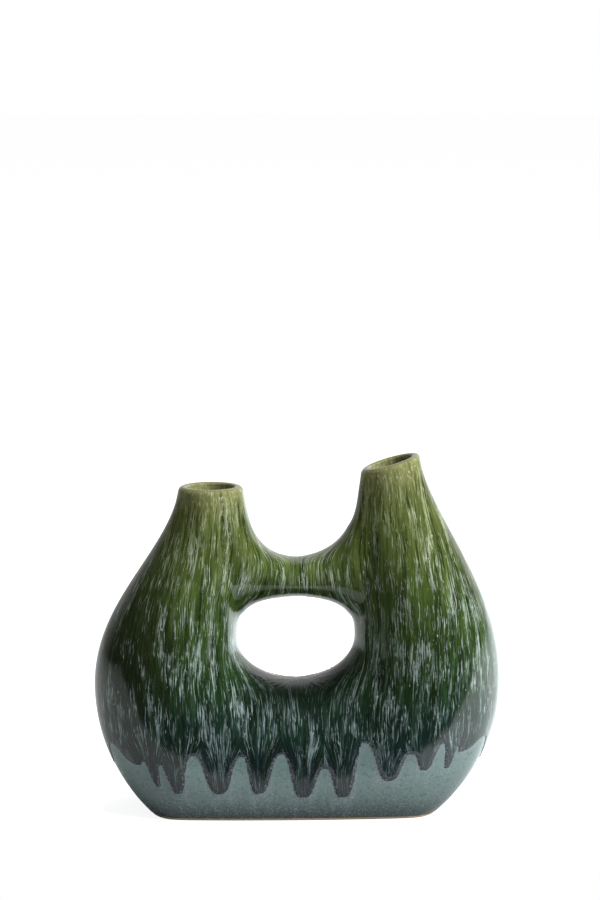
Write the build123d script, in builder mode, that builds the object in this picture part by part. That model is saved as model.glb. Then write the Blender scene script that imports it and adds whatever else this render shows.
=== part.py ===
from build123d import *
import os
from collections import namedtuple
from math import cos, pi, radians, sin, sqrt, tan

# Two-necked ring vase in glazed stoneware: a flat-sided belly, an oval hole through it,
# a short upright neck on the left and a taller neck with a sloping rim on the right.
# Millimetres, +Z up, the front faces -Y, and the origin is under the middle of the foot.

# Belly
belly_width = 255.0  # across the two lobes
belly_depth = 100.0  # front to back at the lobes
belly_level = 80.0  # height of the widest level
waist_depth = 94.0  # front to back below the hole

# Foot, the flat cut under the belly
foot_length = 182.0
foot_drift = -5.0  # sideways drift of the belly's lowest line
foot_sink = 7.0  # depth of the round underside that the foot cuts away
foot_roll = 3.0  # softness of the turn from the flank to the underside

# Hole through the middle
hole_width = 73.6
hole_level = 110.0  # height where the hole is widest
hole_drop = 27.2  # from that level down to the hole's floor
hole_offset = -1.1

# Necks and rims
left_rim_x = -53.8
left_rim_level = 205.0
left_rim_diameter = 39.4
left_rim_tilt = 0.0
left_flank_rise = 54.0  # how far the belly's side runs upright before it turns in
right_rim_x = 57.7
right_rim_level = 220.0
right_rim_diameter = 37.2
right_rim_tilt = 15.9
right_flank_rise = 66.0
neck_flare = 8.0  # degrees that a neck widens on each side below its rim
neck_run = 42.0  # reach of that flare on the outer side
throat_run = 75.0  # reach of that flare on the side of the saddle
throat_rise = 65.0  # how far the hole's side runs upright before it turns
neck_swell = 12.4  # extra half depth that swells the neck into the shoulder
neck_height = 22.0  # length of the clay collar below each rim
lip_radius = 1.2  # rounding of the clay lip, which each glaze coat adds to
lip_clearance = 0.3  # how far the rounding's cut runs out past the neck
rim_spare = 4.0  # form above the rim that the rim's cut takes off

# Bridge between the necks, over the hole
bridge_level = 147.8
bridge_height = 24.0
bridge_depth = 46.0
bridge_root = 10.0  # how far each end runs into its lobe
root_depth = 54.0
left_root_level = 161.0
left_root_height = 80.0
right_root_level = 155.0
right_root_height = 72.0

# Layers, from the outside in
green_thickness = 0.5
slate_thickness = 0.6
clay_wall = 3.6
liner_thickness = 0.4
base_thickness = 6.0
bare_band = 2.0  # bare clay between the foot and the glaze

# Running edge of the green glaze: where each run hangs, and how low its tip comes
run_level = 44.0  # top of the arches between the runs
run_steepness = 0.8  # 0.5 is a gentle wave, 1 is a row of upright fingers
front_runs = [(-93, 24), (-74, 20), (-48, 20), (-25, 20), (3, 17), (27, 17), (56, 27), (77, 33), (94, 35)]
rear_runs = [(-98, 33), (-79, 27), (-55, 19), (-30, 23), (-6, 16), (21, 21), (45, 18), (70, 25), (95, 22)]

# Sections of the form
foot_squareness = 3.6  # 2 is an oval section, more is boxier
section_step = 30  # degrees between the points of a section
section_seams = (-90, 120, 270)  # degrees from the outer side, on the oval or at its crests
neck_stations = 5
belly_stations = 18
slice_shares = (-1, -0.3, 0, 0.3, 1)  # of the belly's width, where the green coat's long faces part

cut_margin = 20.0  # how far a cutting block reaches past what it cuts

slate_inset = green_thickness
clay_inset = slate_inset + slate_thickness
liner_inset = clay_inset + clay_wall
hollow_inset = liner_inset + liner_thickness

Neck = namedtuple("Neck", "side x level diameter tilt flank_rise root_level root_height")
left = Neck(-1, left_rim_x, left_rim_level, left_rim_diameter, left_rim_tilt, left_flank_rise,
            left_root_level, left_root_height)
right = Neck(1, right_rim_x, right_rim_level, right_rim_diameter, right_rim_tilt, right_flank_rise,
             right_root_level, right_root_height)
necks = (left, right)


def cubic(start, leave, arrive, end, t):
    """A cubic curve from start to end, also for plain numbers."""
    s = 1 - t
    return start * s**3 + leave * (3 * s * s * t) + arrive * (3 * s * t * t) + end * t**3


def upright(x, z):
    """A point of the plane that parts the front from the rear."""
    return Vector(x, 0, z)


def belly_point(angle):
    """Outline of the belly: an oval through the foot's ends, flattened just under the foot."""
    oval = belly_level / sqrt(1 - (foot_length / belly_width) ** 2)
    x = foot_drift * sin(angle) ** 2 - belly_width / 2 * cos(angle)
    rise = belly_level - oval * sin(angle) + foot_sink
    return upright(x, (rise + sqrt(rise**2 + foot_roll**2)) / 2 - foot_sink)


def hole_point(angle):
    """Lower half of the hole's oval outline."""
    return upright(hole_offset - hole_width / 2 * cos(angle), hole_level - hole_drop * sin(angle))


def rim_plane(neck, drop):
    """Plane of a rim, lowered along the neck by drop."""
    tilt = radians(neck.tilt)
    up = upright(-sin(tilt), cos(tilt))
    return Plane(origin=upright(neck.x, neck.level) - up * drop, x_dir=(cos(tilt), 0, sin(tilt)), z_dir=up)


def rim_section(neck, rise):
    """Section of the form at a rim, or above it by rise: inner point, outer point, half depth, squareness."""
    plane = rim_plane(neck, -rise)
    reach = plane.x_dir * (neck.side * neck.diameter / 2)
    return plane.origin - reach, plane.origin + reach, neck.diameter / 2, 2


def belly_section(angle):
    """Section of the form between the hole and the belly's outline."""
    under = sin(angle) ** 2
    depth = belly_depth + (waist_depth - belly_depth) * under
    return hole_point(angle), belly_point(angle), depth / 2, 2 + (foot_squareness - 2) * under


def neck_section(neck, t):
    """Section of the form on the way from the belly, t = 0, to a rim, t = 1."""
    rim_in, rim_out, rim_depth, squareness = rim_section(neck, 0)
    hole, belly, depth, _ = belly_section(0 if neck is left else pi)
    flare = radians(neck_flare)
    outward = upright(neck.side * sin(flare), -cos(flare))
    inward = upright(-neck.side * sin(flare), -cos(flare))
    inner = cubic(hole, hole + upright(0, throat_rise), rim_in + inward * throat_run, rim_in, t)
    outer = cubic(belly, belly + upright(0, neck.flank_rise), rim_out + outward * neck_run, rim_out, t)
    return inner, outer, cubic(depth, depth, rim_depth + neck_swell, rim_depth, t), squareness


def ring_sections():
    """All sections, from the left rim down round the hole and up to the right rim."""
    steps = [k / neck_stations for k in range(1, neck_stations + 1)]
    down = [rim_section(left, rim_spare)] + [neck_section(left, t) for t in reversed(steps)]
    along = [belly_section(pi * k / belly_stations) for k in range(belly_stations + 1)]
    up = [neck_section(right, t) for t in steps] + [rim_section(right, rim_spare)]
    return down + along + up


def oval_arc(half_width, half_depth, squareness, start, end):
    """Part of a section between two angles, even in angle: an oval inside, boxier on the outside."""
    count = round((end - start) / section_step)
    steps = [k / count for k in range(count + 1)]
    points = []
    for step in steps:
        angle = radians(start + (end - start) * step)
        power = squareness if cos(angle) > 0 else 2
        bulge = (abs(cos(angle)) ** power + abs(sin(angle)) ** power) ** (-1 / power)
        points.append(Vector(half_width * cos(angle), half_depth * sin(angle)) * bulge)
    slopes = []
    for angle in (radians(start), radians(end)):
        slopes.append(Vector(-half_width * sin(angle), half_depth * cos(angle)) * radians(end - start))
    return Edge.make_spline(points, tangents=slopes, parameters=steps, scale=False)


def form(inset):
    """The vase's shape drawn in by inset all round, still uncut at its rims and foot."""
    with BuildPart() as ring:
        for inner, outer, half_depth, squareness in ring_sections():
            across = (outer - inner).normalized()
            half_width = (outer - inner).length / 2 - inset
            plane = Plane(origin=(inner + outer) / 2, x_dir=across, z_dir=across.cross(Vector(0, 1, 0)))
            with BuildSketch(plane):
                with BuildLine():
                    for start, end in zip(section_seams, section_seams[1:]):
                        add(oval_arc(half_width, half_depth - inset, squareness, start, end))
                make_face()
        loft()
    with BuildPart() as bridge:
        reach = hole_width / 2 + bridge_root
        for share in (-1, -0.5, 0, 0.5, 1):
            neck = left if share < 0 else right
            swell = share**2
            level = bridge_level + (neck.root_level - bridge_level) * swell
            height = bridge_height + (neck.root_height - bridge_height) * swell
            depth = bridge_depth + (root_depth - bridge_depth) * swell
            with BuildSketch(Plane.YZ.offset(hole_offset + reach * share)):
                with Locations((0, level)):
                    Ellipse(depth / 2 - inset, height / 2 - inset)
        loft()
    with BuildPart() as shape:
        add(ring.part)
        add(bridge.part)
    return shape.part


def lip_cutters(inset):
    """Cuts for both rims, lowered by inset: flat across the mouth and round over the lip."""
    cutters = []
    for neck in necks:
        rim = rim_plane(neck, inset)
        radius = neck.diameter / 2 - inset
        rounding = lip_radius + clay_inset - inset
        spread = rounding * tan(radians(neck_flare + neck.tilt)) + lip_clearance
        clear = radius + cut_margin
        with BuildPart() as cutter:
            with BuildSketch(Plane(origin=rim.origin, x_dir=rim.x_dir, z_dir=rim.x_dir.cross(rim.z_dir))):
                with BuildLine():
                    Line((0, 0), (radius - rounding, 0))
                    TangentArc((radius - rounding, 0), (radius + spread, -rounding), tangent=(1, 0))
                    Polyline((radius + spread, -rounding), (clear, -rounding), (clear, clear), (0, clear), (0, 0))
                make_face()
            revolve(axis=Axis(rim.origin, rim.z_dir))
        cutters.append(cutter.part)
    return cutters


def collar_block(neck):
    """Block over the clay collar of one neck."""
    with BuildPart() as block:
        with BuildSketch(rim_plane(neck, neck_height)):
            Rectangle(neck.diameter + 2 * cut_margin, neck.diameter + 2 * cut_margin)
        extrude(amount=neck_height + rim_spare)
    return block.part


def body(inset):
    """The form cut at its rims, with rounded lips."""
    shape = form(inset)
    lips = lip_cutters(inset)
    with BuildPart() as solid:
        add(shape)
        add(lips, mode=Mode.SUBTRACT)
    return solid.part


def keep_above(level):
    """Cuts the part in hand off below a level."""
    split(bisect_by=Plane.XY.offset(level), keep=Keep.TOP)


def run_zone(runs, way):
    """Space that the green glaze covers on one face: all above a line of hanging runs."""
    end = belly_width / 2 + belly_depth
    turns = [(-end, run_level)]
    for k, (x, tip) in enumerate(runs):
        turns.append((x, tip))
        after = runs[k + 1][0] if k + 1 < len(runs) else 2 * x - runs[k - 1][0]
        turns.append(((x + after) / 2, run_level))
    first = runs[0][0] - (runs[1][0] - runs[0][0]) / 2
    turns.insert(1, (first, run_level))
    top = max(left_rim_level, right_rim_level) + belly_depth
    with BuildPart() as zone:
        with BuildSketch(Plane.XZ):
            with BuildLine():
                Line(turns[0], turns[1])
                for (x0, z0), (x1, z1) in zip(turns[1:], turns[2:]):
                    pull = (x1 - x0) * run_steepness
                    Bezier((x0, z0), (x0 + pull, z0), (x1 - pull, z1), (x1, z1))
                Polyline(turns[-1], (end, run_level), (end, top), (-end, top), turns[0])
            make_face()
        extrude(amount=way * belly_depth)
    return zone.part


def coat_slice(coat, low, high):
    """The stretch of a coat between two places along the vase's width."""
    with BuildPart() as piece:
        add(coat)
        with Locations(((low + high) / 2, 0, 0)):
            Box(high - low, 2 * belly_depth, 2 * (right_rim_level + belly_depth), mode=Mode.INTERSECT)
    return piece.part


outer_body = body(0)
slate_body = body(slate_inset)
clay_body = body(clay_inset)
liner_form = form(liner_inset)
hollow_form = form(hollow_inset)
above_rims = lip_cutters(0)
collar_blocks = [collar_block(neck) for neck in necks]
front_zone = run_zone(front_runs, 1)
rear_zone = run_zone(rear_runs, -1)

os.makedirs("parts", exist_ok=True)

# Green running glaze, over the lips and down to its runs, one coat with its faces parted into stretches
with BuildPart() as green_coat:
    add(outer_body)
    add(front_zone + rear_zone, mode=Mode.INTERSECT)
    add(slate_body, mode=Mode.SUBTRACT)
    add(liner_form, mode=Mode.SUBTRACT)

slice_ends = [share * belly_width for share in slice_shares]
green_slices = [coat_slice(green_coat.part, low, high) for low, high in zip(slice_ends, slice_ends[1:])]

with BuildPart() as green_glaze:
    add(green_slices, clean=False)
green_glaze.part.label = "green_glaze"
export_step(green_glaze.part, "parts/green_glaze.step")

# Slate glaze under it, down to the bare band at the foot
with BuildPart() as slate_glaze:
    add(slate_body)
    add(clay_body, mode=Mode.SUBTRACT)
    add(liner_form, mode=Mode.SUBTRACT)
    keep_above(bare_band)
slate_glaze.part.label = "slate_glaze"
export_step(slate_glaze.part, "parts/slate_glaze.step")

# Base slab, bare clay underneath
with BuildPart() as base_slab:
    add(clay_body)
    keep_above(0)
    split(bisect_by=Plane.XY.offset(base_thickness), keep=Keep.BOTTOM)
base_slab.part.label = "base_slab"
export_step(base_slab.part, "parts/base_slab.step")

# Clay wall that stands on the slab, before it is parted into shells and collars
with BuildPart() as clay:
    add(clay_body)
    add(liner_form, mode=Mode.SUBTRACT)
    keep_above(base_thickness)

# Collars, the clay necks
with BuildPart() as left_neck:
    add(clay.part)
    add(collar_blocks[0], mode=Mode.INTERSECT)
left_neck.part.label = "left_neck"
export_step(left_neck.part, "parts/left_neck.step")

with BuildPart() as right_neck:
    add(clay.part)
    add(collar_blocks[1], mode=Mode.INTERSECT)
right_neck.part.label = "right_neck"
export_step(right_neck.part, "parts/right_neck.step")

# Front and rear shells, which meet in the seam round the vase's edge
with BuildPart() as front_shell:
    add(clay.part)
    add(collar_blocks, mode=Mode.SUBTRACT)
    split(bisect_by=Plane.XZ, keep=Keep.TOP)
front_shell.part.label = "front_shell"
export_step(front_shell.part, "parts/front_shell.step")

with BuildPart() as rear_shell:
    add(clay.part)
    add(collar_blocks, mode=Mode.SUBTRACT)
    split(bisect_by=Plane.XZ, keep=Keep.BOTTOM)
rear_shell.part.label = "rear_shell"
export_step(rear_shell.part, "parts/rear_shell.step")

# Liner glaze inside, floor and all
with BuildPart() as hollow:
    add(hollow_form)
    keep_above(base_thickness + liner_thickness)

with BuildPart() as liner_glaze:
    add(liner_form)
    add(above_rims, mode=Mode.SUBTRACT)
    keep_above(base_thickness)
    add(hollow.part, mode=Mode.SUBTRACT)
liner_glaze.part.label = "liner_glaze"
export_step(liner_glaze.part, "parts/liner_glaze.step")
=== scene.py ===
from functools import partial
import math
import bmesh
import bpy
import numpy as np
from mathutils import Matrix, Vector
from mathutils.bvhtree import BVHTree


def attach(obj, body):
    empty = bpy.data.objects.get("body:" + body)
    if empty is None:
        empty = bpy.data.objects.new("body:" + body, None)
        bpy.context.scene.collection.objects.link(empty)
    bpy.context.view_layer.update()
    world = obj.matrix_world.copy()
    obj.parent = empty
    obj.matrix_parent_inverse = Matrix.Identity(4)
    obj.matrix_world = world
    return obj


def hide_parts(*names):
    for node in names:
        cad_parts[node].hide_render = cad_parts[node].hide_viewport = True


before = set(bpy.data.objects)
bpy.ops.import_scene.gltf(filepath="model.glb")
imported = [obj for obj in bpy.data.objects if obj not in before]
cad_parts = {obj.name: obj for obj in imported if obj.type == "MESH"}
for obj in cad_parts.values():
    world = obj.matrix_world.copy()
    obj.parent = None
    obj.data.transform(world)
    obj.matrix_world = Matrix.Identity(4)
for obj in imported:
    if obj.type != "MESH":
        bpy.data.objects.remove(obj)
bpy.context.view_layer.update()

mm = 0.001
scene = bpy.context.scene

# The form in millimetres, from the same values as the solids
belly = {"width": 255.0, "depth": 100.0, "level": 80.0, "waistDepth": 94.0}
foot = {"length": 182.0, "drift": -5.0, "sink": 7.0, "roll": 3.0, "squareness": 3.6}
hole = {"width": 73.6, "level": 110.0, "drop": 27.2, "offset": -1.1}
neckShape = {"flare": math.radians(8.0), "run": 42.0, "throatRun": 75.0, "throatRise": 65.0, "swell": 12.4}
bridge = {"level": 147.8, "height": 24.0, "depth": 46.0, "root": 10.0, "rootDepth": 54.0}
leftNeck = {"side": -1, "x": -53.8, "level": 205.0, "radius": 19.7, "tilt": 0.0, "flankRise": 54.0,
            "rootLevel": 161.0, "rootHeight": 80.0}
rightNeck = {"side": 1, "x": 57.7, "level": 220.0, "radius": 18.6, "tilt": math.radians(15.9), "flankRise": 66.0,
             "rootLevel": 155.0, "rootHeight": 72.0}
necks = (leftNeck, rightNeck)


def cubic(start, leave, arrive, end, t):
    s = 1 - t
    return start * s**3 + leave * (3 * s * s * t) + arrive * (3 * s * t * t) + end * t**3


def rimAxes(neck):
    across = np.array([math.cos(neck["tilt"]), math.sin(neck["tilt"])])
    up = np.array([-math.sin(neck["tilt"]), math.cos(neck["tilt"])])
    return np.array([neck["x"], neck["level"]]), across, up


def rimSection(neck, rise):
    middle, across, up = rimAxes(neck)
    middle = middle + up * rise
    reach = across * neck["side"] * neck["radius"]
    return middle - reach, middle + reach, neck["radius"], 2.0


def bellySection(angle):
    under = math.sin(angle) ** 2
    oval = belly["level"] / math.sqrt(1 - (foot["length"] / belly["width"]) ** 2)
    rise = belly["level"] - oval * math.sin(angle) + foot["sink"]
    outer = np.array([foot["drift"] * under - belly["width"] / 2 * math.cos(angle),
                      (rise + math.sqrt(rise**2 + foot["roll"] ** 2)) / 2 - foot["sink"]])
    inner = np.array([hole["offset"] - hole["width"] / 2 * math.cos(angle),
                      hole["level"] - hole["drop"] * math.sin(angle)])
    depth = belly["depth"] + (belly["waistDepth"] - belly["depth"]) * under
    return inner, outer, depth / 2, 2 + (foot["squareness"] - 2) * under


def neckSection(neck, t):
    rimIn, rimOut, rimDepth, squareness = rimSection(neck, 0)
    inner, outer, depth, _ = bellySection(0 if neck is leftNeck else math.pi)
    lean = neck["side"] * math.sin(neckShape["flare"])
    fall = -math.cos(neckShape["flare"])
    inner = cubic(inner, inner + [0, neckShape["throatRise"]],
                  rimIn + np.array([-lean, fall]) * neckShape["throatRun"], rimIn, t)
    outer = cubic(outer, outer + [0, neck["flankRise"]],
                  rimOut + np.array([lean, fall]) * neckShape["run"], rimOut, t)
    return inner, outer, cubic(depth, depth, rimDepth + neckShape["swell"], rimDepth, t), squareness


def ringSections(endRise, neckCount, bellyCount):
    steps = [k / neckCount for k in range(1, neckCount + 1)]
    rows = [rimSection(leftNeck, endRise)] if endRise > 0 else []
    rows += [neckSection(leftNeck, t) for t in reversed(steps)]
    rows += [bellySection(math.pi * k / bellyCount) for k in range(bellyCount + 1)]
    rows += [neckSection(rightNeck, t) for t in steps]
    rows += [rimSection(rightNeck, endRise)] if endRise > 0 else []
    return rows


def ringGrid(sections, count, inset):
    turn = np.arange(count) * 2 * math.pi / count
    rows = []
    for inner, outer, halfDepth, squareness in sections:
        middle, reach = (inner + outer) / 2, (outer - inner) / 2
        length = np.linalg.norm(reach)
        power = np.where(np.cos(turn) > 0, squareness, 2.0)
        bulge = (np.abs(np.cos(turn)) ** power + np.abs(np.sin(turn)) ** power) ** (-1 / power)
        out = np.cos(turn) * bulge * (1 - inset / length)
        side = np.sin(turn) * bulge * (halfDepth - inset)
        rows.append(np.stack([middle[0] + reach[0] * out, side, middle[1] + reach[1] * out], axis=1))
    return np.array(rows) * mm


def bridgeGrid(rowCount, count):
    turn = np.arange(count) * 2 * math.pi / count
    reach = hole["width"] / 2 + bridge["root"]
    rows = []
    for share in np.linspace(-1.3, 1.3, rowCount):
        neck = leftNeck if share < 0 else rightNeck
        swell = min(share**2, 1.0)
        level = bridge["level"] + (neck["rootLevel"] - bridge["level"]) * swell
        height = bridge["height"] + (neck["rootHeight"] - bridge["height"]) * swell
        depth = bridge["depth"] + (bridge["rootDepth"] - bridge["depth"]) * swell
        rows.append(np.stack([np.full(count, hole["offset"] + reach * share), depth / 2 * np.cos(turn),
                              level + height / 2 * np.sin(turn)], axis=1))
    return np.array(rows) * mm


def closedFaces(grid):
    rowCount, count, _ = grid.shape
    points = np.concatenate([grid.reshape(-1, 3), grid[[0, -1]].mean(axis=1)])
    faces = []
    for i in range(rowCount - 1):
        for j in range(count):
            k = (j + 1) % count
            faces.append((i * count + j, (i + 1) * count + j, (i + 1) * count + k, i * count + k))
    for row, tip, flip in ((0, len(points) - 2, False), (rowCount - 1, len(points) - 1, True)):
        for j in range(count):
            pair = (row * count + j, row * count + (j + 1) % count)
            faces.append((tip, *(pair[::-1] if flip else pair)))
    return points, faces


def outwardFaces(points, faces):
    volume = 0.0
    for face in faces:
        a, b, c = points[face[0]], points[face[1]], points[face[2]]
        volume += np.dot(a, np.cross(b, c))
        if len(face) == 4:
            volume += np.dot(a, np.cross(c, points[face[3]]))
    return faces if volume > 0 else [face[::-1] for face in faces]


def makeObject(name, points, faces):
    mesh = bpy.data.meshes.new(name)
    mesh.from_pydata([tuple(p) for p in points], [], faces)
    piece = bpy.data.objects.new(name, mesh)
    scene.collection.objects.link(piece)
    return piece


def meshPoints(mesh):
    flat = np.empty(len(mesh.vertices) * 3)
    mesh.vertices.foreach_get("co", flat)
    return flat.reshape(-1, 3)


def meshEdges(mesh):
    flat = np.empty(len(mesh.edges) * 2, dtype=np.int32)
    mesh.edges.foreach_get("vertices", flat)
    return flat.reshape(-1, 2)


def meshNormals(mesh):
    flat = np.empty(len(mesh.vertices) * 3)
    mesh.vertex_normals.foreach_get("vector", flat)
    return flat.reshape(-1, 3)


def setPoints(mesh, points):
    mesh.vertices.foreach_set("co", np.ascontiguousarray(points, dtype=np.float64).ravel())
    mesh.update()


def relax(points, edges, rounds, amount):
    count = len(points)
    shares = np.bincount(edges.ravel(), minlength=count)[:, None]
    for k in range(rounds):
        for pull in (amount, -amount * 1.04):
            total = np.stack([np.bincount(edges[:, 0], points[edges[:, 1], c], count)
                              + np.bincount(edges[:, 1], points[edges[:, 0], c], count)
                              for c in range(3)], axis=1)
            points = points + pull * (total / shares - points)
    return points


# The blended body: ring and bridge melted together, as wet clay is smoothed over a joint
melt = {"blend": 20 * mm, "voxel": 1.3 * mm, "reach": 30 * mm, "fade": 14 * mm}
ringPoints, ringFaces = closedFaces(ringGrid(ringSections(6.0, 70, 160), 160, 0.0))
ringFaces = outwardFaces(ringPoints, ringFaces)
bridgePoints, bridgeFaces = closedFaces(bridgeGrid(117, 120))
bridgeFaces = outwardFaces(bridgePoints, bridgeFaces)
ringTree = BVHTree.FromPolygons([tuple(p) for p in ringPoints], ringFaces)
bridgeTree = BVHTree.FromPolygons([tuple(p) for p in bridgePoints], bridgeFaces)
shift = len(ringPoints)
rawBody = makeObject("rawBody", np.concatenate([ringPoints, bridgePoints]),
                     ringFaces + [tuple(i + shift for i in face) for face in bridgeFaces])
remesh = rawBody.modifiers.new("melt", "REMESH")
remesh.mode = "VOXEL"
remesh.voxel_size = melt["voxel"]
bodyMesh = bpy.data.meshes.new_from_object(rawBody.evaluated_get(bpy.context.evaluated_depsgraph_get()))
bpy.data.objects.remove(rawBody)
bridgeReach = (hole["width"] / 2 + bridge["root"]) * mm
bridgeLow = bridgePoints.min(axis=0) - melt["reach"]
bridgeHigh = bridgePoints.max(axis=0) + melt["reach"]


def distanceTo(tree, point):
    near, normal, _, gap = tree.find_nearest(point)
    return math.copysign(gap, (point - near).dot(normal)), normal


def ontoBlend(points):
    moved = points.copy()
    inReach = np.all((points > bridgeLow) & (points < bridgeHigh), axis=1)
    for k, place in enumerate(points):
        point = Vector(place)
        gap, way = distanceTo(ringTree, point)
        fromEnd = bridgeReach - abs(point.x - hole["offset"] * mm)
        if inReach[k] and fromEnd > 0.5 * mm:
            other, otherWay = distanceTo(bridgeTree, point)
            blend = melt["blend"] * min(fromEnd / melt["fade"], 1.0)
            overlap = max(blend - abs(gap - other), 0.0) / blend
            share = overlap**2 / 2 if gap < other else 1 - overlap**2 / 2
            gap = min(gap, other) - overlap**3 * blend / 6
            way = (way * (1 - share) + otherWay * share).normalized()
        moved[k] = point - way * gap
    return moved


bodyEdges = meshEdges(bodyMesh)
bodyPoints = meshPoints(bodyMesh)
bodyPoints = relax(ontoBlend(ontoBlend(bodyPoints)), bodyEdges, 10, 0.5)
bodyPoints = relax(ontoBlend(bodyPoints), bodyEdges, 6, 0.5)
setPoints(bodyMesh, bodyPoints)
bodyNormals = meshNormals(bodyMesh)
print("body", len(bodyPoints), "points")


# Flow lines of the glaze: a coordinate that stays even along the way a drop would run
def flowCoordinate(points, normals, edges, chosen):
    down = np.array([0.0, 0.0, -1.0])
    flow = down - normals * (normals @ down)[:, None]
    steep = np.linalg.norm(flow, axis=1)
    across = np.cross(normals, flow / np.maximum(steep, 1e-6)[:, None])
    use = edges[chosen[edges[:, 0]] & chosen[edges[:, 1]]]
    i, j = use[:, 0], use[:, 1]
    step = np.einsum("ij,ij->i", points[j] - points[i], (across[i] + across[j]) / 2)
    weight = (steep[i] + steep[j]) / 2 + 0.03
    count = len(points)

    def spread(values):
        pull = weight * (values[j] - values[i])
        return np.bincount(j, pull, count) - np.bincount(i, pull, count)

    goal = np.bincount(j, weight * step, count) - np.bincount(i, weight * step, count)
    scale = np.bincount(i, weight, count) + np.bincount(j, weight, count)
    scale[scale == 0] = 1.0
    sign = -1.0 if points[chosen][:, 1].mean() > 0 else 1.0
    answer = np.where(chosen, sign * points[:, 0], 0.0)
    left = goal - spread(answer)
    ready = left / scale
    aim = ready.copy()
    score = left @ ready
    for k in range(500):
        pulled = spread(aim)
        length = score / (aim @ pulled + 1e-30)
        answer += length * aim
        left -= length * pulled
        ready = left / scale
        fresh = left @ ready
        aim = ready + (fresh / (score + 1e-30)) * aim
        score = fresh
    return answer


overlap = 7 * mm
acrossFront = flowCoordinate(bodyPoints, bodyNormals, bodyEdges, bodyPoints[:, 1] < overlap)
acrossRear = flowCoordinate(bodyPoints, bodyNormals, bodyEdges, bodyPoints[:, 1] > -overlap)
print("flow", acrossFront.min(), acrossFront.max(), acrossRear.min(), acrossRear.max())

# Runs of the green glaze: (x, height) of the turns along the front and the rear, left to right
runs = {"depth": 99.0, "steepness": 2.2, "stretch": 2.2, "slopeStretch": 1.5}
frontTurns = [(-112, 37), (-102, 40), (-93, 24), (-84, 39), (-75, 20), (-61, 45), (-48, 20), (-34, 44), (-25, 20),
              (-11, 45), (2, 17), (15, 36), (26, 17), (38, 52), (52, 28), (64, 45), (74, 34), (85, 51), (97, 34),
              (105, 48), (109, 44)]
rearTurns = [(-108, 46), (-98, 33), (-88, 47), (-79, 27), (-67, 44), (-55, 19), (-42, 46), (-30, 23), (-18, 42),
             (-6, 16), (8, 44), (21, 21), (33, 45), (45, 18), (58, 47), (70, 25), (82, 42), (95, 22), (107, 45)]
turnList = [(math.atan2(-runs["depth"], x), z) for x, z in frontTurns]
turnList += [(math.atan2(runs["depth"], x), z) for x, z in rearTurns[::-1]]
turnList += [(-0.45, 50), (-0.25, 34), (-0.02, 49), (0.18, 30), (0.42, 47), (2.72, 48), (2.94, 31), (3.12, 48)]
turnList += [(-2.93, 32), (-2.72, 47)]
turnList.sort()
turnAngles = np.array([turnList[-1][0] - 2 * math.pi] + [a for a, _ in turnList] + [turnList[0][0] + 2 * math.pi])
turnLevels = np.array([turnList[-1][1]] + [z for _, z in turnList] + [turnList[0][1]], dtype=float)


def runAngle(points):
    return np.arctan2(points[:, 1] * runs["stretch"], points[:, 0])


def runEdge(angle):
    k = np.clip(np.searchsorted(turnAngles, angle, side="right") - 1, 0, len(turnAngles) - 2)
    u = np.clip((angle - turnAngles[k]) / (turnAngles[k + 1] - turnAngles[k]), 0, 1)
    rise = u ** runs["steepness"] / (u ** runs["steepness"] + (1 - u) ** runs["steepness"])
    return (turnLevels[k] + (turnLevels[k + 1] - turnLevels[k]) * rise) * mm


def runDistance(points):
    angle = runAngle(points)
    step = 0.004
    radius = np.hypot(points[:, 0], points[:, 1] * runs["slopeStretch"])
    slope = (runEdge(angle + step) - runEdge(angle - step)) / (2 * step * np.maximum(radius, 20 * mm))
    return (points[:, 2] - runEdge(angle)) / np.sqrt(1 + slope**2)


def tipness(points):
    low, high = 18 * mm, 46 * mm
    return np.clip((high - runEdge(runAngle(points))) / (high - low), 0, 1)


def gather(points):
    tips = np.array([x for x, z in frontTurns if z < 36]), np.array([x for x, z in rearTurns if z < 36])
    pull = np.zeros(len(points))
    squeeze = np.clip((56 * mm - points[:, 2]) / (34 * mm), 0, 1)
    squeeze = 1.5 * squeeze**2 * (3 - 2 * squeeze)
    for rear in (0, 1):
        offset = points[:, :1] / mm - tips[rear][None, :]
        nearest = np.take_along_axis(offset, np.abs(offset).argmin(axis=1)[:, None], axis=1)[:, 0] * mm
        pull = np.where((points[:, 1] > 0) == bool(rear), (-1 if rear else 1) * nearest * squeeze, pull)
    return np.where(np.abs(points[:, 0]) < 108 * mm, pull, 0.0)


def bodyCopy(name):
    piece = bpy.data.objects.new(name, bodyMesh.copy())
    scene.collection.objects.link(piece)
    return piece


def addFloats(mesh, name, values):
    layer = mesh.attributes.new(name, "FLOAT", "POINT")
    layer.data.foreach_set("value", np.ascontiguousarray(values, dtype=np.float32))


def smoothAll(piece):
    piece.data.polygons.foreach_set("use_smooth", np.ones(len(piece.data.polygons), dtype=bool))
    piece.data.update()


# Green running glaze: thick rolls at the tips of its runs, and round lips
green = {"coat": 0.6 * mm, "roll": 0.55 * mm, "tipRoll": 0.5 * mm, "edge": 1.5 * mm, "sink": -0.5 * mm,
         "rollRun": 3.5 * mm, "lowest": 10 * mm, "collar": 10 * mm, "outerRound": 2.3, "innerRound": 1.3,
         "wall": 5.0}
away = runDistance(bodyPoints)
tip = tipness(bodyPoints)
front = np.clip((away + green["edge"] / 2) / green["edge"], 0, 1)
roundUp = np.sqrt(np.clip(1 - (1 - front) ** 2, 0, 1))
roll = (green["roll"] * 0.5 + green["tipRoll"] * tip) * np.exp(-np.maximum(away, 0) / green["rollRun"])
sideways = np.clip((np.abs(bodyPoints[:, 0]) - 88 * mm) / (18 * mm), 0, 1)
fullCoat = green["coat"] * (1 - 0.4 * sideways) + roll * (1 - sideways)
thick = green["sink"] + (fullCoat - green["sink"]) * roundUp
greenPiece = bodyCopy("greenGlaze")
setPoints(greenPiece.data, bodyPoints + bodyNormals * (thick - green["coat"])[:, None])
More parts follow.
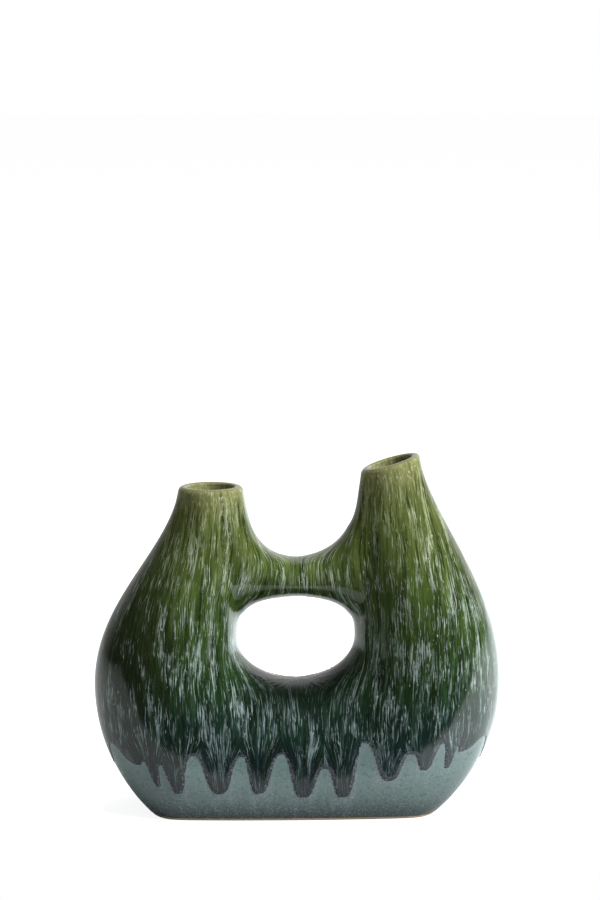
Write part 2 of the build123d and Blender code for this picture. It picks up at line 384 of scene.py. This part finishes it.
addFloats(greenPiece.data, "acrossFront", acrossFront + gather(bodyPoints))
addFloats(greenPiece.data, "acrossRear", acrossRear + gather(bodyPoints))
addFloats(greenPiece.data, "runAway", away)
addFloats(greenPiece.data, "rimDrop", np.full(len(bodyPoints), 1.0))
addFloats(greenPiece.data, "lip", np.zeros(len(bodyPoints)))


def rimFrame(neck):
    middle, across, up = rimAxes(neck)
    origin = Vector((middle[0], 0, middle[1])) * mm
    return origin, Vector((across[0], 0, across[1])), Vector((up[0], 0, up[1]))


def lipProfile():
    rows = [(drop, 0.0, 0.0) for drop in (8.0, 6.2, 4.6, 3.4)]
    for k in range(9):
        turn = math.pi / 2 * k / 8
        rows.append((green["outerRound"] * (1 - math.sin(turn)), green["outerRound"] * (1 - math.cos(turn)),
                     math.sin(turn) ** 2))
    for k in range(1, 7):
        turn = math.pi / 2 * k / 6
        inset = green["wall"] - green["innerRound"] * (1 - math.sin(turn))
        rows.append((green["innerRound"] * (1 - math.cos(turn)), inset, math.cos(turn) ** 2))
    rows += [(drop, green["wall"], 0.0) for drop in (2.6, 4.5)]
    return rows


def shapeNecks(piece):
    bm = bmesh.new()
    bm.from_mesh(piece.data)
    runLayer = bm.verts.layers.float["runAway"]
    dropLayer = bm.verts.layers.float["rimDrop"]
    lipLayer = bm.verts.layers.float["lip"]
    carried = [bm.verts.layers.float[name] for name in ("acrossFront", "acrossRear", "runAway")]
    bare = {v for v in bm.verts if v[runLayer] < -green["edge"] or v.co.z < green["lowest"]}
    lost = [f for f in bm.faces if all(v in bare for v in f.verts)]
    bmesh.ops.delete(bm, geom=lost, context="FACES")
    for neck in necks:
        origin, across, up = rimFrame(neck)
        upper = [v for v in bm.verts if v.co.z > 0.15 and v.co.x * neck["side"] > 0]
        faces = list({f for v in upper for f in v.link_faces})
        edges = list({e for f in faces for e in f.edges})
        bmesh.ops.bisect_plane(bm, geom=upper + edges + faces, dist=1e-7, plane_co=origin - up * green["collar"],
                               plane_no=up, clear_outer=True)
        ring = [v for v in bm.verts if v.is_boundary and v.co.z > 0.15 and v.co.x * neck["side"] > 0]
        bmesh.ops.remove_doubles(bm, verts=ring, dist=0.45 * mm)
        ring = [v for v in bm.verts if v.is_boundary and v.co.z > 0.15 and v.co.x * neck["side"] > 0]
        polar = []
        for v in ring:
            offset = v.co - origin
            reach = offset.dot(across)
            polar.append((math.atan2(offset.y, reach), math.hypot(offset.y, reach), v))
        polar.sort(key=lambda entry: entry[0])
        below = [v for _, _, v in polar]
        for drop, inset, lip in lipProfile():
            row = []
            for turn, radius, v in polar:
                rimRadius = neck["radius"] * mm
                wide = rimRadius + (radius - rimRadius) * (drop * mm / green["collar"])
                if inset > 0:
                    wide = rimRadius + (wide - rimRadius) * max(0, 1 - inset / 2) - inset * mm
                place = origin - up * drop * mm + across * wide * math.cos(turn)
                place.y = wide * math.sin(turn)
                fresh = bm.verts.new(place)
                for layer in carried:
                    fresh[layer] = v[layer]
                fresh[lipLayer] = lip
                row.append(fresh)
            for k in range(len(row)):
                n = (k + 1) % len(row)
                bm.faces.new((below[k], below[n], row[n], row[k]))
            below = row
    for v in bm.verts:
        for neck in necks:
            origin, across, up = rimFrame(neck)
            if v.co.x * neck["side"] > 0 and v.co.z > 0.14:
                v[dropLayer] = (origin - v.co).dot(up)
    bmesh.ops.recalc_face_normals(bm, faces=bm.faces)
    bm.to_mesh(piece.data)
    bm.free()


shapeNecks(greenPiece)
smoothAll(greenPiece)
print("green", len(greenPiece.data.polygons), "faces")

# Slate glaze under the runs, down to the bare band, lifted where the clay wall would show through it
slate = {"top": 62 * mm, "bareBand": 2.0 * mm, "tuck": 0.7 * mm, "probe": 3.0 * mm, "cover": 0.12 * mm}
slatePiece = bodyCopy("slateGlaze")
slatePoints = bodyPoints - bodyNormals * green["coat"]
for node in ("front_shell", "rear_shell"):
    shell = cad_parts[node]
    shellPoints = [shell.matrix_world @ v.co for v in shell.data.vertices]
    shellTree = BVHTree.FromPolygons(shellPoints, [tuple(p.vertices) for p in shell.data.polygons])
    for k in np.nonzero(slatePoints[:, 2] < slate["top"] + slate["probe"])[0]:
        out = Vector(bodyNormals[k])
        start = Vector(slatePoints[k]) + out * slate["probe"]
        _, _, _, depth = shellTree.ray_cast(start, -out, 2 * slate["probe"])
        if depth is not None:
            slatePoints[k] += bodyNormals[k] * max(0.0, slate["probe"] + slate["cover"] - depth)
setPoints(slatePiece.data, slatePoints)
addFloats(slatePiece.data, "runAway", away)


def cutBand(piece):
    bm = bmesh.new()
    bm.from_mesh(piece.data)
    high = [f for f in bm.faces if min(v.co.z for v in f.verts) > slate["top"]]
    bmesh.ops.delete(bm, geom=high, context="FACES")
    bmesh.ops.bisect_plane(bm, geom=bm.verts[:] + bm.edges[:] + bm.faces[:], dist=1e-7,
                           plane_co=(0, 0, slate["bareBand"]), plane_no=(0, 0, -1), clear_outer=True)
    rim = [e for e in bm.edges if e.is_boundary and max(v.co.z for v in e.verts) < slate["bareBand"] + 1e-5]
    for inset, drop in ((0.25 * mm, 0.3 * mm), (slate["tuck"], 0.4 * mm)):
        fresh = bmesh.ops.extrude_edge_only(bm, edges=rim)["geom"]
        rim = [e for e in fresh if isinstance(e, bmesh.types.BMEdge) and e.is_boundary]
        for v in [v for v in fresh if isinstance(v, bmesh.types.BMVert)]:
            inward = Vector((v.co.x, v.co.y * runs["stretch"], 0)).normalized()
            v.co = v.co - inward * inset
            v.co.z = slate["bareBand"] - drop
    bmesh.ops.recalc_face_normals(bm, faces=bm.faces)
    bm.to_mesh(piece.data)
    bm.free()


cutBand(slatePiece)
smoothAll(slatePiece)
print("slate", len(slatePiece.data.polygons), "faces")

# Bare clay foot, the slab's edge under the slate glaze
clayFoot = {"inset": 0.7 * mm, "top": 5.0 * mm}
footPiece = bodyCopy("clayFoot")
setPoints(footPiece.data, bodyPoints - bodyNormals * clayFoot["inset"])


def cutFoot(piece):
    bm = bmesh.new()
    bm.from_mesh(piece.data)
    for level, way in ((clayFoot["top"], 1), (0.0, -1)):
        cut = bmesh.ops.bisect_plane(bm, geom=bm.verts[:] + bm.edges[:] + bm.faces[:], dist=1e-7,
                                     plane_co=(0, 0, level), plane_no=(0, 0, way), clear_outer=True)
        edges = [e for e in cut["geom_cut"] if isinstance(e, bmesh.types.BMEdge)]
        bmesh.ops.contextual_create(bm, geom=edges)
    bmesh.ops.recalc_face_normals(bm, faces=bm.faces)
    bm.to_mesh(piece.data)
    bm.free()


cutFoot(footPiece)
print("foot", len(footPiece.data.polygons), "faces")

# Liner glaze inside, from lip to lip
liner = {"inset": 5.15, "lipDrop": 1.6}
linerRows = ringGrid(ringSections(0, 60, 90), 72, liner["inset"])
linerCount, linerTurns, _ = linerRows.shape
linerFaces = [(i * linerTurns + j, i * linerTurns + (j + 1) % linerTurns,
               (i + 1) * linerTurns + (j + 1) % linerTurns, (i + 1) * linerTurns + j)
              for i in range(linerCount - 1) for j in range(linerTurns)]
for rowIndex, neck in ((0, leftNeck), (linerCount - 1, rightNeck)):
    _, _, up = rimAxes(neck)
    linerRows[rowIndex] -= np.array([up[0], 0, up[1]]) * liner["lipDrop"] * mm
linerPoints = linerRows.reshape(-1, 3).copy()
linerPoints[:, 2] = np.maximum(linerPoints[:, 2], 6.4 * mm)
linerPiece = makeObject("linerGlaze", linerPoints, linerFaces)
linerDrop = np.full(len(linerPoints), 1.0)
for neck in necks:
    middle, _, up = rimAxes(neck)
    inNeck = (linerPoints[:, 0] * neck["side"] > 0) & (linerPoints[:, 2] > 0.14)
    linerDrop = np.where(inNeck, middle @ up * mm - linerPoints[:, [0, 2]] @ up, linerDrop)
addFloats(linerPiece.data, "rimDrop", linerDrop)
smoothAll(linerPiece)
print("liner", len(linerFaces), "faces")


def toLinear(text):
    channels = [int(text[k:k + 2], 16) / 255 for k in (1, 3, 5)]
    return [c / 12.92 if c <= 0.04045 else ((c + 0.055) / 1.055) ** 2.4 for c in channels] + [1.0]


def addNode(tree, kind, inputs, output=0, stops=(), **settings):
    node = tree.nodes.new("ShaderNode" + kind)
    for key, value in settings.items():
        setattr(node, key, value)
    for key, value in inputs.items():
        if isinstance(value, bpy.types.NodeSocket):
            tree.links.new(value, node.inputs[key])
        else:
            node.inputs[key].default_value = value
    if stops:
        elements = node.color_ramp.elements
        for _ in stops[2:]:
            elements.new(0.5)
        for element, (place, color) in zip(elements, stops):
            element.position = place
            element.color = toLinear(color)
    return node.outputs[output]


def newMaterial(name):
    material = bpy.data.materials.new(name)
    material.use_nodes = True
    tree = material.node_tree
    return material, tree.nodes["Principled BSDF"], partial(addNode, tree), tree.links.new


times = {"operation": "MULTIPLY"}
plus = {"operation": "ADD"}
minus = {"operation": "SUBTRACT"}
smooth = {"interpolation_type": "SMOOTHSTEP"}
colors = {"output": 2, "data_type": "RGBA"}
glazeIor = 1.5


# Reactive green glaze: glossy, light where it thins at the lips,
# dark and streaked with pale threads where it ran
def greenMaterial():
    material, shader, add, link = newMaterial("reactiveGreenGlaze")
    place = add("TexCoord", {}, "Object")
    axes = add("SeparateXYZ", {0: place}).node.outputs
    height = axes[2]
    isRear = add("Math", {0: axes[1], 1: 0.0}, operation="GREATER_THAN")
    onFront = add("Attribute", {}, "Fac", attribute_name="acrossFront")
    onRear = add("Attribute", {}, "Fac", attribute_name="acrossRear")
    across = add("Mix", {0: isRear, 2: onFront, 3: onRear})
    away = add("Attribute", {}, "Fac", attribute_name="runAway")
    drop = add("Attribute", {}, "Fac", attribute_name="rimDrop")
    lip = add("Attribute", {}, "Fac", attribute_name="lip")
    rearShift = add("Math", {0: isRear, 1: 31.7}, **times)

    # Place on the glaze in units of a streak's width and length, in millimetres
    def flowVector(width, length, offset):
        u = add("Math", {0: across, 1: 1 / (width * mm)}, **times)
        v = add("Math", {0: height, 1: 1 / (length * mm)}, **times)
        w = add("Math", {0: rearShift, 1: offset}, **plus)
        return add("CombineXYZ", {0: u, 1: v, 2: w})

    wander = add("TexNoise", {"Vector": flowVector(6, 26, 3.1), "Scale": 1.0, "Detail": 3.0})
    wander = add("Math", {0: wander, 1: 0.5}, **minus)
    wander = add("Math", {0: wander, 1: 4.0 * mm}, **times)
    across = add("Math", {0: across, 1: wander}, **plus)
    level = add("MapRange", {0: height, 1: 0.015, 2: 0.225})
    body = add("ValToRGB", {0: level}, stops=[
        (0.0, "#0f171b"), (0.1, "#122126"), (0.24, "#192e25"), (0.34, "#26401f"), (0.48, "#375123"),
        (0.62, "#4a622b"), (0.76, "#586832"), (0.9, "#646f38"), (1.0, "#6d7440")])
    level = add("MapRange", {0: height, 1: 0.02, 2: 0.22})
    deep = toLinear("#131d0e")
    moss = add("ValToRGB", {0: level}, stops=[
        (0.0, "#1a282c"), (0.25, "#34543f"), (0.5, "#577338"), (0.8, "#7f8e4b"), (1.0, "#959c5c")])
    pale = add("ValToRGB", {0: level}, stops=[
        (0.0, "#62757a"), (0.25, "#b3cbca"), (0.55, "#c9dbd0"), (0.8, "#c6d3ac"), (1.0, "#c8cd98")])

    # Dark and mossy streaks: width and length in mm, offset, where they begin and are full, most cover
    for width, length, offset, low, high, most, tint in (
            (7.0, 60, 9.0, 0.47, 0.66, 0.65, deep), (2.6, 34, 9.7, 0.5, 0.68, 0.6, moss),
            (1.5, 26, 10.3, 0.5, 0.66, 0.7, deep), (1.1, 22, 11.1, 0.54, 0.68, 0.55, moss)):
        streak = add("TexNoise", {"Vector": flowVector(width, length, offset), "Scale": 1.0, "Roughness": 0.55})
        share = add("MapRange", {0: streak, 1: low, 2: high, 4: most}, **smooth)
        body = add("Mix", {0: share, 6: body, 7: tint}, **colors)

    # Painted shade: a dark brown mixed over the left flank of the front, the side turned away from the key light
    outward = add("MapRange", {0: axes[0], 1: -0.06, 2: -0.11}, **smooth)
    upward = add("MapRange", {0: height, 1: 0.05, 2: 0.1}, **smooth)
    paintedLeftShade = add("Math", {0: outward, 1: upward}, **times)
    paintedLeftShade = add("Math", {0: paintedLeftShade, 1: add("Math", {0: 1.0, 1: isRear}, **minus)}, **times)
    share = add("Math", {0: paintedLeftShade, 1: 0.6}, **times)
    body = add("Mix", {0: share, 6: body, 7: toLinear("#2c291d")}, **colors)
    grain = add("TexNoise", {"Vector": place, "Scale": 1 / (0.9 * mm), "Detail": 3.0, "Roughness": 0.7})
    share = add("MapRange", {0: grain, 1: 0.5, 2: 0.75, 4: 0.45}, **smooth)
    body = add("Mix", {0: share, 6: body, 7: moss}, **colors)

    # Pale threads in clumps, drawn coarser than the hair-thin real ones so that they show
    density = add("TexNoise", {"Vector": flowVector(6, 30, 7.0), "Scale": 1.0, "Detail": 3.0, "Roughness": 0.6})
    clump = add("Math", {0: density, 1: 0.5}, **minus)
    clump = add("Math", {0: clump, 1: 0.55}, **times)
    # fewer pale threads inside the painted shade of the left flank
    clump = add("Math", {0: clump, 1: add("Math", {0: paintedLeftShade, 1: 0.04}, **times)}, **minus)
    for width, length, offset, low, high, most in (
            (1.6, 24, 5.0, 0.54, 0.74, 0.4), (0.5, 13, 1.0, 0.58, 0.67, 0.8),
            (0.75, 20, 2.0, 0.61, 0.69, 0.85), (0.7, 4.5, 6.0, 0.66, 0.73, 1.0)):
        threads = add("TexNoise", {"Vector": flowVector(width, length, offset), "Scale": 1.0})
        fade = flowVector(width * 3, length / 3, offset + 20)
        fade = add("TexNoise", {"Vector": fade, "Scale": 1.0, "Roughness": 0.6})
        fade = add("MapRange", {0: fade, 1: 0.32, 2: 0.56, 3: 0.15}, **smooth)
        cover = add("Math", {0: threads, 1: clump}, **plus)
        cover = add("MapRange", {0: cover, 1: low, 2: high, 4: most}, **smooth)
        cover = add("Math", {0: cover, 1: fade}, **times)
        body = add("Mix", {0: cover, 6: body, 7: pale}, **colors)

    # Painted shade: the upward-facing floor of the hole, under the bridge, darkened where the bridge shades it
    # and mirrors darkly in it
    facing = add("SeparateXYZ", {0: add("NewGeometry", {}, "Normal")}).node.outputs
    upward = add("MapRange", {0: facing[2], 1: 0.45, 2: 0.9}, **smooth)
    below = add("MapRange", {0: height, 1: 0.115, 2: 0.1}, **smooth)
    paintedHoleShade = add("Math", {0: upward, 1: below}, **times)
    share = add("Math", {0: paintedHoleShade, 1: 0.8}, **times)
    body = add("Mix", {0: share, 6: body, 7: toLinear("#0f1814")}, **colors)

    # Lighter patches and sparks under the rims, and a brown lip
    patches = add("TexNoise", {"Vector": flowVector(1.6, 9, 8.0), "Scale": 1.0, "Detail": 3.0, "Roughness": 0.65})
    patches = add("Math", {0: patches, 1: 0.045}, **times)
    rim = add("Math", {0: drop, 1: patches}, **plus)
    rim = add("MapRange", {0: rim, 1: 0.017, 2: 0.041, 3: 1.0, 4: 0.0}, **smooth)
    share = add("Math", {0: rim, 1: 0.75}, **times)
    body = add("Mix", {0: share, 6: body, 7: toLinear("#b6ba7b")}, **colors)
    sparks = add("TexNoise", {"Vector": flowVector(1.3, 3.2, 12.0), "Scale": 1.0, "Detail": 1.0})
    sparks = add("MapRange", {0: sparks, 1: 0.58, 2: 0.7}, **smooth)
    near = add("MapRange", {0: drop, 1: 0.002, 2: 0.016, 3: 0.9, 4: 0.0}, **smooth)
    share = add("Math", {0: near, 1: sparks}, **times)
    body = add("Mix", {0: share, 6: body, 7: toLinear("#d9ddb4")}, **colors)
    share = add("Math", {0: lip, 1: 0.8}, **times)
    body = add("Mix", {0: share, 6: body, 7: toLinear("#7f7a57")}, **colors)

    # Ragged dark edge of the runs, with a frosty line
    fringe = add("TexNoise", {"Vector": place, "Scale": 1 / (1.2 * mm), "Detail": 3.0, "Roughness": 0.7})
    ragged = add("Math", {0: fringe, 1: 0.5}, **minus)
    ragged = add("Math", {0: ragged, 1: 2.5 * mm}, **times)
    ragged = add("Math", {0: away, 1: ragged}, **plus)
    edge = add("MapRange", {0: ragged, 1: 0.0004, 2: 0.0018, 3: 1.0, 4: 0.0}, **smooth)
    share = add("Math", {0: edge, 1: 0.75}, **times)
    body = add("Mix", {0: share, 6: body, 7: toLinear("#1a262c")}, **colors)
    border = add("MapRange", {0: away, 1: 0.0, 2: 0.0014, 3: 1.0, 4: 0.0}, **smooth)
    frost = add("MapRange", {0: fringe, 1: 0.52, 2: 0.66}, **smooth)
    frost = add("Math", {0: border, 1: frost}, **times)
    share = add("Math", {0: frost, 1: 0.7}, **times)
    body = add("Mix", {0: share, 6: body, 7: toLinear("#9297a8")}, **colors)
    link(body, shader.inputs["Base Color"])
    shader.inputs["Roughness"].default_value = 0.12
    shader.inputs["IOR"].default_value = glazeIor
    waves = add("TexNoise", {"Vector": flowVector(5, 9, 4.0), "Scale": 1.0})
    bump = add("Bump", {"Height": waves, "Strength": 0.12, "Distance": 0.4 * mm})
    link(bump, shader.inputs["Normal"])
    return material


# Slate glaze: glossy blue-grey, finely speckled, with painted shade darkening it towards the foot where it meets
# the floor
def slateMaterial():
    material, shader, add, link = newMaterial("speckledSlateGlaze")
    place = add("TexCoord", {}, "Object")
    axes = add("SeparateXYZ", {0: place}).node.outputs
    # painted shade: the height ramp turns darkest in the lowest few millimetres, near the floor
    level = add("MapRange", {0: axes[2], 1: 0.0, 2: 0.055})
    base = add("ValToRGB", {0: level}, stops=[
        (0.0, "#2d3a3b"), (0.1, "#455655"), (0.28, "#687d7b"), (0.6, "#76908c"), (1.0, "#7e9893")])
    speck = add("TexNoise", {"Vector": place, "Scale": 1 / (1.1 * mm), "Detail": 3.0, "Roughness": 0.65})
    share = add("MapRange", {0: speck, 1: 0.5, 2: 0.72, 4: 0.6}, **smooth)
    base = add("Mix", {0: share, 6: base, 7: toLinear("#98abaa")}, **colors)
    dark = add("TexNoise", {"Vector": place, "Scale": 1 / (2.3 * mm)})
    share = add("MapRange", {0: dark, 1: 0.52, 2: 0.7, 4: 0.35}, **smooth)
    base = add("Mix", {0: share, 6: base, 7: toLinear("#35424a")}, **colors)
    away = add("Attribute", {}, "Fac", attribute_name="runAway")
    halo = add("MapRange", {0: away, 1: -0.006, 2: 0.0}, **smooth)
    halo = add("Math", {0: halo, 1: add("MapRange", {0: speck, 1: 0.4, 2: 0.6}, **smooth)}, **times)
    share = add("Math", {0: halo, 1: 0.5}, **times)
    base = add("Mix", {0: share, 6: base, 7: toLinear("#9aa1ad")}, **colors)
    link(base, shader.inputs["Base Color"])
    shader.inputs["Roughness"].default_value = 0.16
    shader.inputs["IOR"].default_value = glazeIor
    return material


# Liner glaze: glossy olive, with painted light and shade: pale at the lip and darkening to near black deeper
# inside the neck
def linerMaterial():
    material, shader, add, link = newMaterial("oliveLinerGlaze")
    drop = add("Attribute", {}, "Fac", attribute_name="rimDrop")
    # painted light and shade: the ramp runs from pale at the lip to near black within about 5 mm below it
    level = add("MapRange", {0: drop, 1: 0.001, 2: 0.0055})
    base = add("ValToRGB", {0: level}, stops=[
        (0.0, "#cfce92"), (0.25, "#9a9a55"), (0.55, "#55551f"), (1.0, "#14150a")])
    link(base, shader.inputs["Base Color"])
    shader.inputs["Roughness"].default_value = 0.15
    shader.inputs["IOR"].default_value = glazeIor
    return material


# Bare stoneware: matt, warm and finely grained
def clayMaterial():
    material, shader, add, link = newMaterial("bareStoneware")
    place = add("TexCoord", {}, "Object")
    grain = add("TexNoise", {"Vector": place, "Scale": 1 / (0.8 * mm), "Detail": 3.0, "Roughness": 0.6})
    base = add("ValToRGB", {0: grain}, stops=[(0.3, "#d3b594"), (0.7, "#f0dcc4")])
    link(base, shader.inputs["Base Color"])
    shader.inputs["Roughness"].default_value = 0.8
    return material


clay = clayMaterial()
greenPiece.data.materials.clear()
greenPiece.data.materials.append(greenMaterial())
slatePiece.data.materials.clear()
slatePiece.data.materials.append(slateMaterial())
linerPiece.data.materials.append(linerMaterial())
footPiece.data.materials.clear()
footPiece.data.materials.append(clay)
for piece, node, slot in ((greenPiece, "green_glaze", "green_running_glaze"),
                          (slatePiece, "slate_glaze", "slate_speckled_glaze"),
                          (linerPiece, "liner_glaze", "olive_liner_glaze"),
                          (footPiece, "base_slab", "fired_clay")):
    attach(piece, "root")
    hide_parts(node)
for node in ("front_shell", "rear_shell", "left_neck", "right_neck"):
    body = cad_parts[node]
    body.data.materials.clear()
    body.data.materials.append(clay)
print("materials", len(bpy.data.materials))


# Stage: pale floor with a front edge, evenly bright for the camera; to mirror rays it glows as a painted
# reflection, brightest on the right and dimmed as painted shade beside the foot
def floorMaterial():
    material, shader, add, link = newMaterial("paleFloor")
    shader.inputs["Base Color"].default_value = toLinear("#e8e8e8")
    shader.inputs["Roughness"].default_value = 0.9
    rays = add("LightPath", {}).node.outputs
    shown = add("Math", {0: rays["Is Camera Ray"], 1: 0.88}, **times)
    place = add("TexCoord", {}, "Object")
    axes = add("SeparateXYZ", {0: place}).node.outputs
    # painted reflection: the mirrored glow is dim on the left and bright on the right
    leftPart = add("MapRange", {0: axes[0], 1: -0.2, 2: 0.0, 3: 0.18, 4: 0.36}, **smooth)
    rightPart = add("MapRange", {0: axes[0], 1: 0.0, 2: 0.17, 4: 1.5}, **smooth)
    paintedReflectionLevel = add("Math", {0: leftPart, 1: rightPart}, **plus)
    # painted shade: the mirrored glow fades close to the vase, standing in for its shadow
    stretched = add("VectorMath", {0: place, 1: (1.0, runs["stretch"], 0.0)}, **times)
    paintedShadeByDistance = add("VectorMath", {0: stretched}, "Value", operation="LENGTH")
    paintedShadeByDistance = add("MapRange", {0: paintedShadeByDistance, 1: 0.1, 2: 0.26, 3: 0.2}, **smooth)
    paintedReflectionLevel = add("Math", {0: paintedReflectionLevel, 1: paintedShadeByDistance}, **times)
    mirrored = add("Math", {0: rays["Is Glossy Ray"], 1: paintedReflectionLevel}, **times)
    paintedReflectionTint = add("Mix", {0: rays["Is Glossy Ray"], 6: toLinear("#ffffff"), 7: toLinear("#e0eef0")}, **colors)
    link(paintedReflectionTint, shader.inputs["Emission Color"])
    link(add("Math", {0: shown, 1: mirrored}, **plus), shader.inputs["Emission Strength"])
    return material


stage = {"front": -0.165, "rear": 9.0, "half": 6.0}
floorCorners = [(-stage["half"], stage["front"], 0), (stage["half"], stage["front"], 0),
                (stage["half"], stage["rear"], 0), (-stage["half"], stage["rear"], 0)]
floor = makeObject("floor", floorCorners, [(0, 1, 2, 3)])
floor.data.materials.append(floorMaterial())

# White background, mirrored only from behind the vase, mostly on the right
world = bpy.data.worlds.new("studio")
scene.world = world
world.use_nodes = True
sky = world.node_tree
background = sky.nodes["Background"]
add = partial(addNode, sky)
heading = add("SeparateXYZ", {0: add("TexCoord", {}, "Generated")}).node.outputs
rays = add("LightPath", {}).node.outputs
behind = add("MapRange", {0: heading[1], 1: 0.5, 2: 0.8}, **smooth)
rightward = add("MapRange", {0: heading[0], 1: -0.7, 2: 0.5, 3: 0.18}, **smooth)
mirrored = add("Math", {0: behind, 1: rightward}, **times)
mirrored = add("Math", {0: mirrored, 1: 0.03}, **plus)
mirrored = add("Math", {0: mirrored, 1: rays["Is Glossy Ray"]}, **times)
ambient = add("Math", {0: rays["Is Diffuse Ray"], 1: 0.12}, **times)
level = add("Math", {0: mirrored, 1: ambient}, **plus)
level = add("Math", {0: level, 1: rays["Is Camera Ray"]}, operation="MAXIMUM")
sky.links.new(level, background.inputs["Strength"])
background.inputs["Color"].default_value = (1, 1, 1, 1)


def softbox(name, place, aim, width, height, power):
    lamp = bpy.data.lights.new(name, "AREA")
    lamp.shape = "RECTANGLE"
    lamp.size = width
    lamp.size_y = height
    lamp.energy = power
    piece = bpy.data.objects.new(name, lamp)
    piece.location = place
    piece.rotation_euler = (Vector(aim) - Vector(place)).to_track_quat("-Z", "Y").to_euler()
    piece.visible_glossy = False
    scene.collection.objects.link(piece)


softbox("keyBox", (1.7, -1.1, 1.3), (0, 0, 0.1), 1.2, 1.2, 46)
softbox("topBox", (0.3, 0.1, 1.9), (0, 0, 0.1), 1.2, 1.2, 16)

# Camera of the photograph
view = {"distance": 2.2, "height": 0.539, "aim": 0.11, "yaw": math.radians(2.0), "lens": 143.1,
        "shiftX": 2.5 / 900, "shiftY": 185.5 / 900}
camera = bpy.data.objects.new("camera", bpy.data.cameras.new("camera"))
camera.data.lens = view["lens"]
camera.data.shift_x = view["shiftX"]
camera.data.shift_y = view["shiftY"]
camera.location = (-view["distance"] * math.sin(view["yaw"]), -view["distance"] * math.cos(view["yaw"]),
                   view["height"])
camera.rotation_euler = (Vector((0, 0, view["aim"])) - camera.location).to_track_quat("-Z", "Y").to_euler()
scene.collection.objects.link(camera)
scene.camera = camera
scene.view_settings.view_transform = "Standard"
